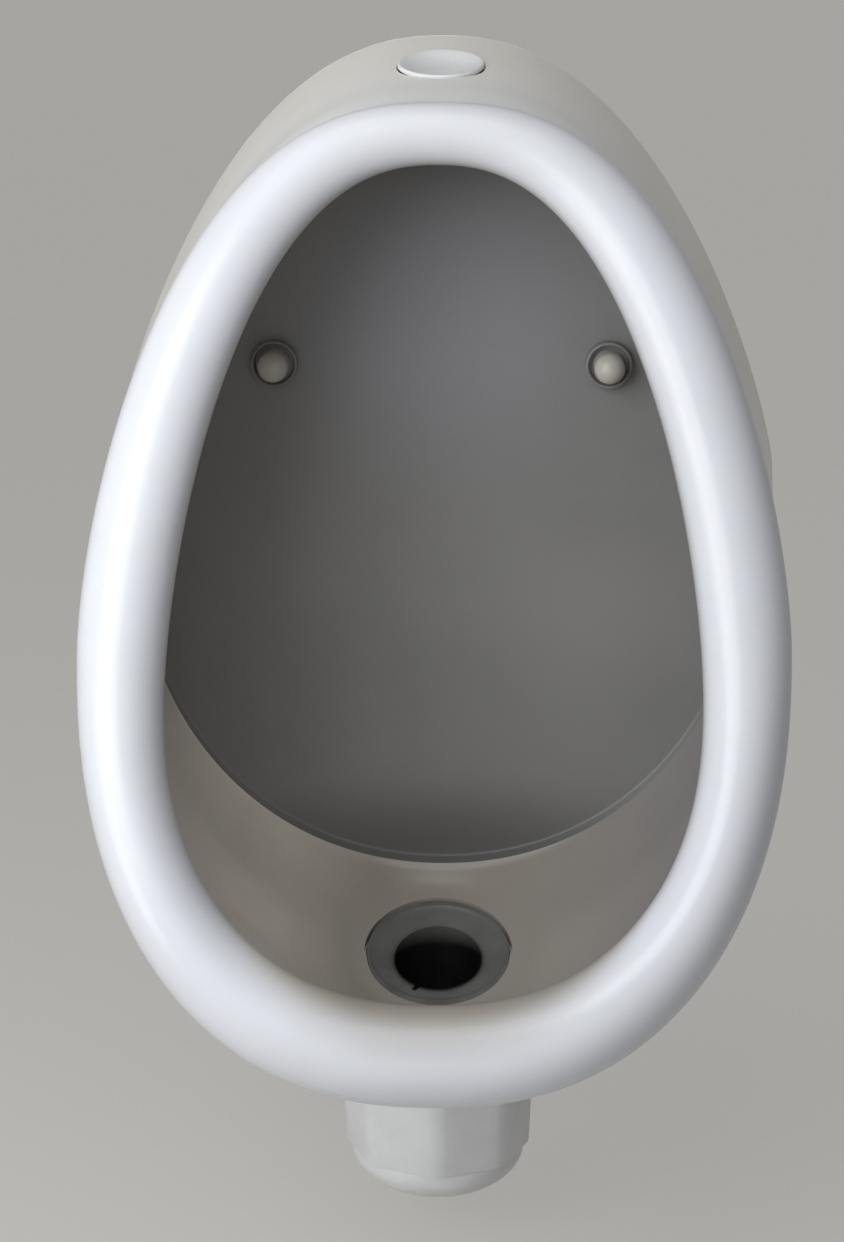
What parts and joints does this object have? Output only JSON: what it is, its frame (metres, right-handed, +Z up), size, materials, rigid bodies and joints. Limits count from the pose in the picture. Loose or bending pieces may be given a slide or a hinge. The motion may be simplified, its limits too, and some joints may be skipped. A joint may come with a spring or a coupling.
{
  "type": "wall hung urinal",
  "caption": "Egg-shaped glazed china urinal bowl with a rolled rim and a hood, bolted to a wall, with a waste and a faceted bottle trap below.",
  "frame": {"origin": "on the wall face, midway between the two fixing bolts", "axes": "+X to the right seen from the front, +Y into the wall, +Z up"},
  "size_m": [0.374, 0.355, 0.641],
  "materials": {
    "china": "gloss",
    "white_plastic": "gloss",
    "cap_plastic": "gloss",
    "cup_plastic": "satin",
    "grey_plastic": "satin",
    "natural_plastic": "matte",
    "rubber": "matte",
    "zinc_steel": "satin"
  },
  "bodies": {
    "bowl": {"ceramic_body": "china", "hanger_bolts": "zinc_steel", "fixing_sleeves": "natural_plastic", "cup_washers": "cup_plastic", "steel_washers": "zinc_steel", "hex_nuts": "zinc_steel", "waste_outlet": "grey_plastic", "waste_flange_seal": "rubber", "lower_seal": "rubber", "slip_washer": "natural_plastic", "waste_backnut": "white_plastic", "trap_body": "white_plastic", "trap_union_nut": "white_plastic", "trap_cone_seal": "rubber", "dip_tube": "natural_plastic", "outlet_pipe": "white_plastic", "outlet_cone_seal": "rubber", "outlet_nut": "white_plastic"},
    "inlet_plug": {"inlet_plug": "white_plastic", "inlet_plug_seal": "rubber"},
    "left_cover_cap": {"left_cover_cap": "cap_plastic"},
    "right_cover_cap": {"right_cover_cap": "cap_plastic"},
    "base_seal_ring": {"base_seal_ring": "rubber"},
    "trap_base": {"trap_base": "white_plastic"},
    "wall_rosette": {"wall_rosette": "white_plastic"}
  },
  "joints": [
    {"name": "plug_lift", "type": "slide", "parent": "bowl", "child": "inlet_plug", "axis": [0, -0.2466, 0.9691], "range_m": [0, 0.04]},
    {"name": "left_cap_pull", "type": "slide", "parent": "bowl", "child": "left_cover_cap", "axis": [0, -1, 0], "range_m": [0, 0.025]},
    {"name": "right_cap_pull", "type": "slide", "parent": "bowl", "child": "right_cover_cap", "axis": [0, -1, 0], "range_m": [0, 0.025]},
    {"name": "base_turn", "type": "hinge", "parent": "base_seal_ring", "child": "trap_base", "pos_m": [0, -0.085, -0.4375], "axis": [0, 0, -1], "range_deg": [0, 1080]},
    {"name": "base_drop", "type": "slide", "parent": "bowl", "child": "base_seal_ring", "axis": [0, 0, -1], "range_m": [0, 0.0125]},
    {"name": "rosette_slide", "type": "slide", "parent": "bowl", "child": "wall_rosette", "axis": [0, -1, 0], "range_m": [0, 0.005]}
  ],
  "couplings": [
    {"joint": "base_drop", "follows": "base_turn", "m_per_rad": 0.00063662}
  ]
}
